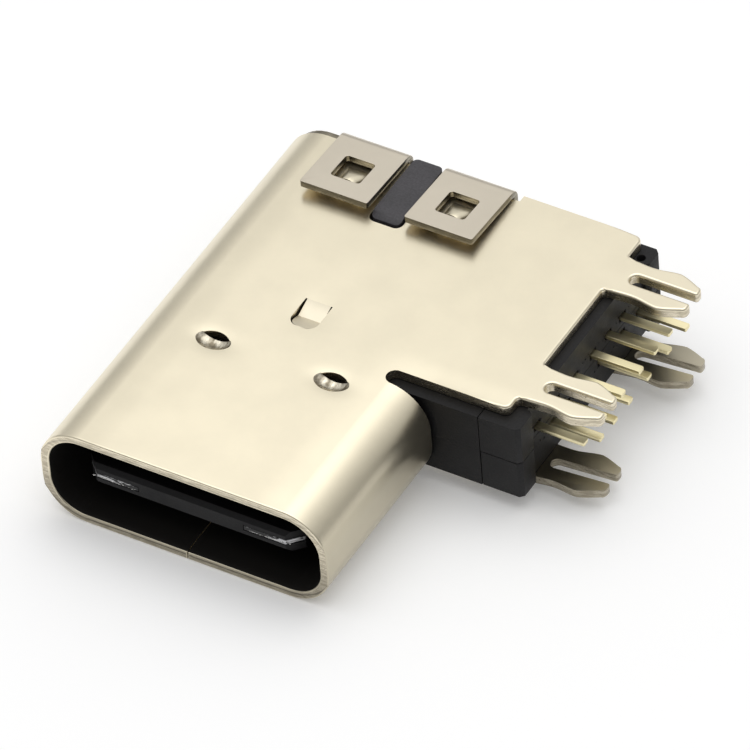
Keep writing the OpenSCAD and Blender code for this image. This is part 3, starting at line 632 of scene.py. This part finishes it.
# The skin of a moulded part: a faint unevenness in colour, and the grain of the mould.
mould_grain, given, result = new_group(
    "mould_grain", [("Color", "NodeSocketColor", (*RESIN, 1)), ("Roughness", "NodeSocketFloat", 0.5)],
    [("Color", "NodeSocketColor"), ("Roughness", "NodeSocketFloat"), ("Normal", "NodeSocketVector")])
tree = mould_grain
place = add_node(tree, "ShaderNodeTexCoord").outputs["Object"]
clouds = noise(tree, place, 0.9, detail=4.0, rough=0.6)
grain = noise(tree, place, 16.0, detail=3.0, rough=0.6)
tinted = add_node(tree, "ShaderNodeVectorMath", operation="SCALE")
bump = add_node(tree, "ShaderNodeBump", Strength=1.0, Distance=0.006 * MM)
wire(tree, (given.outputs["Color"], tinted.inputs[0]),
     (sum_up(tree, "ADD", span(tree, clouds, 0.3, 0.7, 0.75, 1.35), span(tree, grain, 0.3, 0.75, -0.2, 0.3)),
      tinted.inputs["Scale"]),
     (tinted.outputs[0], result.inputs["Color"]),
     (sum_up(tree, "ADD", given.outputs["Roughness"], span(tree, clouds, 0.3, 0.7, -0.08, 0.08)),
      result.inputs["Roughness"]),
     (grain, bump.inputs["Height"]), (bump.outputs[0], result.inputs["Normal"]))


def moulding(name, color, roughness, gloss):
    made, tree = new_material(name)
    out = add_node(tree, "ShaderNodeOutputMaterial")
    skin = add_node(tree, "ShaderNodeBsdfPrincipled")
    skin.inputs["Specular IOR Level"].default_value = gloss
    marks = add_group(tree, mould_grain, Color=(*color, 1), Roughness=roughness)
    wire(tree, (marks.outputs["Color"], skin.inputs["Base Color"]),
         (marks.outputs["Roughness"], skin.inputs["Roughness"]),
         (marks.outputs["Normal"], skin.inputs["Normal"]), (skin.outputs[0], out.inputs[0]))
    return made


black_resin = moulding("black_resin", RESIN, 0.5, 0.25)
key_resin = moulding("paler_key_resin", KEY_RESIN, 0.42, 0.5)
shape = merged_copy("housing")
join_flats(shape)
round_edges(shape, MOULDED_EDGE, 2)
for face in shape.faces:
    middle = face.calc_center_median()
    key_face = middle.y > KEY_FRONT and abs(middle.z) > KEY_HEIGHT
    face.material_index = 1 if key_face else 0
finish_piece(shape, "moulded_body", ["housing"], [black_resin, key_resin])

# ---- carriers ----
# Two blocks of charcoal resin hold the rows of contacts. They close over each other on the board side,
# and their feet stand on the board.
CHARCOAL = (0.009, 0.0087, 0.0094)
charcoal = moulding("charcoal_resin", CHARCOAL, 0.52, 0.25)
for half in ("upper", "lower"):
    shape = merged_copy(f"{half}_carrier")
    join_flats(shape)
    round_edges(shape, MOULDED_EDGE, 2)
    finish_piece(shape, f"{half}_block", [f"{half}_carrier"], [charcoal])

# ---- mid plate and ground pads ----
# A steel plate stiffens the tongue, between two ground pads of the same steel.
# Its ears show at the tongue's tip, where a film of resin has run over them.
PLATE_STEEL = (0.55, 0.55, 0.56)
PLATE_EDGE = 0.02 * MM
EAR_REACH = (1.6 * MM, 3.1 * MM)
plate_steel = metal("plate_steel", press_marks, PLATE_STEEL, 0.34)
filmed, tree = new_material("filmed_steel")
out = add_node(tree, "ShaderNodeOutputMaterial")
skin = add_node(tree, "ShaderNodeBsdfPrincipled", Roughness=0.38)
place = add_node(tree, "ShaderNodeTexCoord").outputs["Object"]
parts = add_node(tree, "ShaderNodeSeparateXYZ")
wire(tree, (place, parts.inputs[0]))
outward = span(tree, sum_up(tree, "ABSOLUTE", parts.outputs["X"]), *EAR_REACH, -0.12, 0.16, "LINEAR")
film = noise(tree, place, 5.0, detail=4.0, rough=0.65, stretch=(0.4, 1, 2.2))
bare = span(tree, sum_up(tree, "ADD", film, outward), 0.53, 0.58)
bump = add_node(tree, "ShaderNodeBump", Strength=1.0, Distance=0.03 * MM)
wire(tree, (blend_colors(tree, bare, RESIN, PLATE_STEEL), skin.inputs["Base Color"]),
     (bare, skin.inputs["Metallic"]), (film, bump.inputs["Height"]), (bump.outputs[0], skin.inputs["Normal"]),
     (skin.outputs[0], out.inputs[0]))
shape = merged_copy("mid_plate")
join_flats(shape)
round_edges(shape, PLATE_EDGE, 2)
finish_piece(shape, "stiffening_plate", ["mid_plate"], [filmed])
for name in ("upper_ground_pad", "lower_ground_pad"):
    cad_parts[name].data.materials[0] = plate_steel

# ---- burrs and flash ----
# The press leaves burrs along the ears of the mid plate, and the mould leaves flash where the two
# carriers close and round the roots of the tails. Each is a row of small crumbs, half sunk in its piece.
# All their sizes are in millimetres; a crumb's size is that from its middle to its ends.
EAR_FRONT = 0.385
SEAM_FRONT = 5.752
ROOT_FACE = 6.953
ROOT_START, ROOT_STOP = 6.4, 12.9
ROOT_HEIGHT = 0.40
BURR_STEEL = (0.72, 0.71, 0.69)
EAR_BURR = (0.055, 0.022, 0.016)
EAR_SCATTER = (0.03, 0.006, 0.022)
SEAM_CRUMB = (0.045, 0.010, 0.012)
SEAM_SCATTER = (0.02, 0.002, 0.010)
ROOT_CRUMB = (0.022, 0.05, 0.025)
ROOT_SCATTER = (0.004, 0.05, 0.09)
crumbs = bpy.data.node_groups.new("crumbs", "GeometryNodeTree")
crumbs.interface.new_socket("Geometry", in_out="INPUT", socket_type="NodeSocketGeometry")
CRUMB_INPUTS = [
    crumbs.interface.new_socket(title, in_out="INPUT", socket_type=kind).identifier
    for title, kind in (("Count", "NodeSocketInt"), ("Size", "NodeSocketVector"),
                        ("Scatter", "NodeSocketVector"), ("Seed", "NodeSocketInt"),
                        ("Material", "NodeSocketMaterial"))]
crumbs.interface.new_socket("Geometry", in_out="OUTPUT", socket_type="NodeSocketGeometry")


def random_between(low, high, seed):
    made = add_node(crumbs, "FunctionNodeRandomValue", data_type="FLOAT_VECTOR")
    made.inputs[0].default_value = (low, low, low)
    made.inputs[1].default_value = (high, high, high)
    wire(crumbs, (seed, made.inputs["Seed"]))
    return made.outputs[0]


def scaled_by(value, factor):
    made = add_node(crumbs, "ShaderNodeVectorMath", operation="MULTIPLY")
    wire(crumbs, (value, made.inputs[0]), (factor, made.inputs[1]))
    return made.outputs[0]


given = crumbs.nodes.new("NodeGroupInput")
result = crumbs.nodes.new("NodeGroupOutput")
row = add_node(crumbs, "GeometryNodeMeshToCurve")
spaced = add_node(crumbs, "GeometryNodeResampleCurve")
strayed = add_node(crumbs, "GeometryNodeSetPosition")
crumb = add_node(crumbs, "GeometryNodeMeshIcoSphere", Radius=1.0, Subdivisions=1)
laid = add_node(crumbs, "GeometryNodeInstanceOnPoints")
solid = add_node(crumbs, "GeometryNodeRealizeInstances")
coated = add_node(crumbs, "GeometryNodeSetMaterial")
next_seed = sum_up(crumbs, "ADD", given.outputs["Seed"], 1.0)
wire(crumbs, (given.outputs["Geometry"], row.inputs[0]), (row.outputs[0], spaced.inputs[0]),
     (given.outputs["Count"], spaced.inputs["Count"]), (spaced.outputs[0], strayed.inputs["Geometry"]),
     (scaled_by(random_between(-1.0, 1.0, given.outputs["Seed"]), given.outputs["Scatter"]),
      strayed.inputs["Offset"]),
     (strayed.outputs[0], laid.inputs["Points"]), (crumb.outputs[0], laid.inputs["Instance"]),
     (random_between(0.0, 0.5, given.outputs["Seed"]), laid.inputs["Rotation"]),
     (scaled_by(random_between(0.35, 1.0, next_seed), given.outputs["Size"]), laid.inputs["Scale"]),
     (laid.outputs[0], solid.inputs[0]), (solid.outputs[0], coated.inputs[0]),
     (given.outputs["Material"], coated.inputs["Material"]), (coated.outputs[0], result.inputs[0]))


def strew(name, material, ends, count, size, scatter, seed):
    """A row of crumbs from one end to the other, all in millimetres, as one piece."""
    line = bpy.data.meshes.new(name)
    line.from_pydata([Vector(end) * MM for end in ends], [(0, 1)], [])
    piece = bpy.data.objects.new(name, line)
    scene.collection.objects.link(piece)
    rows = piece.modifiers.new("crumbs", "NODES")
    rows.node_group = crumbs
    values = (count, [side * MM for side in size], [side * MM for side in scatter], seed, material)
    for identifier, value in zip(CRUMB_INPUTS, values):
        rows[identifier] = value
    bpy.context.view_layer.update()
    graph = bpy.context.evaluated_depsgraph_get()
    mesh = bpy.data.meshes.new_from_object(piece.evaluated_get(graph))
    mesh.name = name
    piece.modifiers.clear()
    piece.data = mesh
    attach(piece, "root")


burr_steel = metal("burr_steel", press_marks, BURR_STEEL, 0.24)
strew("left_ear_burrs", burr_steel,
      ((-3.05, EAR_FRONT, -0.03), (-1.75, EAR_FRONT, -0.055)), 20, EAR_BURR, EAR_SCATTER, 3)
strew("right_ear_burrs", burr_steel,
      ((1.85, EAR_FRONT, -0.045), (3.10, EAR_FRONT, 0.0)), 20, EAR_BURR, EAR_SCATTER, 11)
strew("seam_flash", charcoal,
      ((4.6, SEAM_FRONT, -0.012), (6.9, SEAM_FRONT, -0.012)), 46, SEAM_CRUMB, SEAM_SCATTER, 5)
for name, height, seed in (("upper_root_flash", ROOT_HEIGHT, 8), ("lower_root_flash", -ROOT_HEIGHT, 13)):
    strew(name, charcoal,
          ((ROOT_FACE, ROOT_START, height), (ROOT_FACE, ROOT_STOP, height)), 36,
          ROOT_CRUMB, ROOT_SCATTER, seed)

# ---- contacts ----
# Strips of copper alloy with pale gold on them. Each runs from the tongue through the carrier
# and out to its tail, which is sheared off square.
GILT = (0.86, 0.775, 0.49)
CONTACT_EDGE = 0.012 * MM
gilt = metal("pale_gilt", press_marks, GILT, 0.30)
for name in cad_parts:
    if name.startswith("contact_"):
        shape = merged_copy(name)
        join_flats(shape)
        round_edges(shape, CONTACT_EDGE, 2)
        finish_piece(shape, name.replace("contact", "gilt"), [name], [gilt])
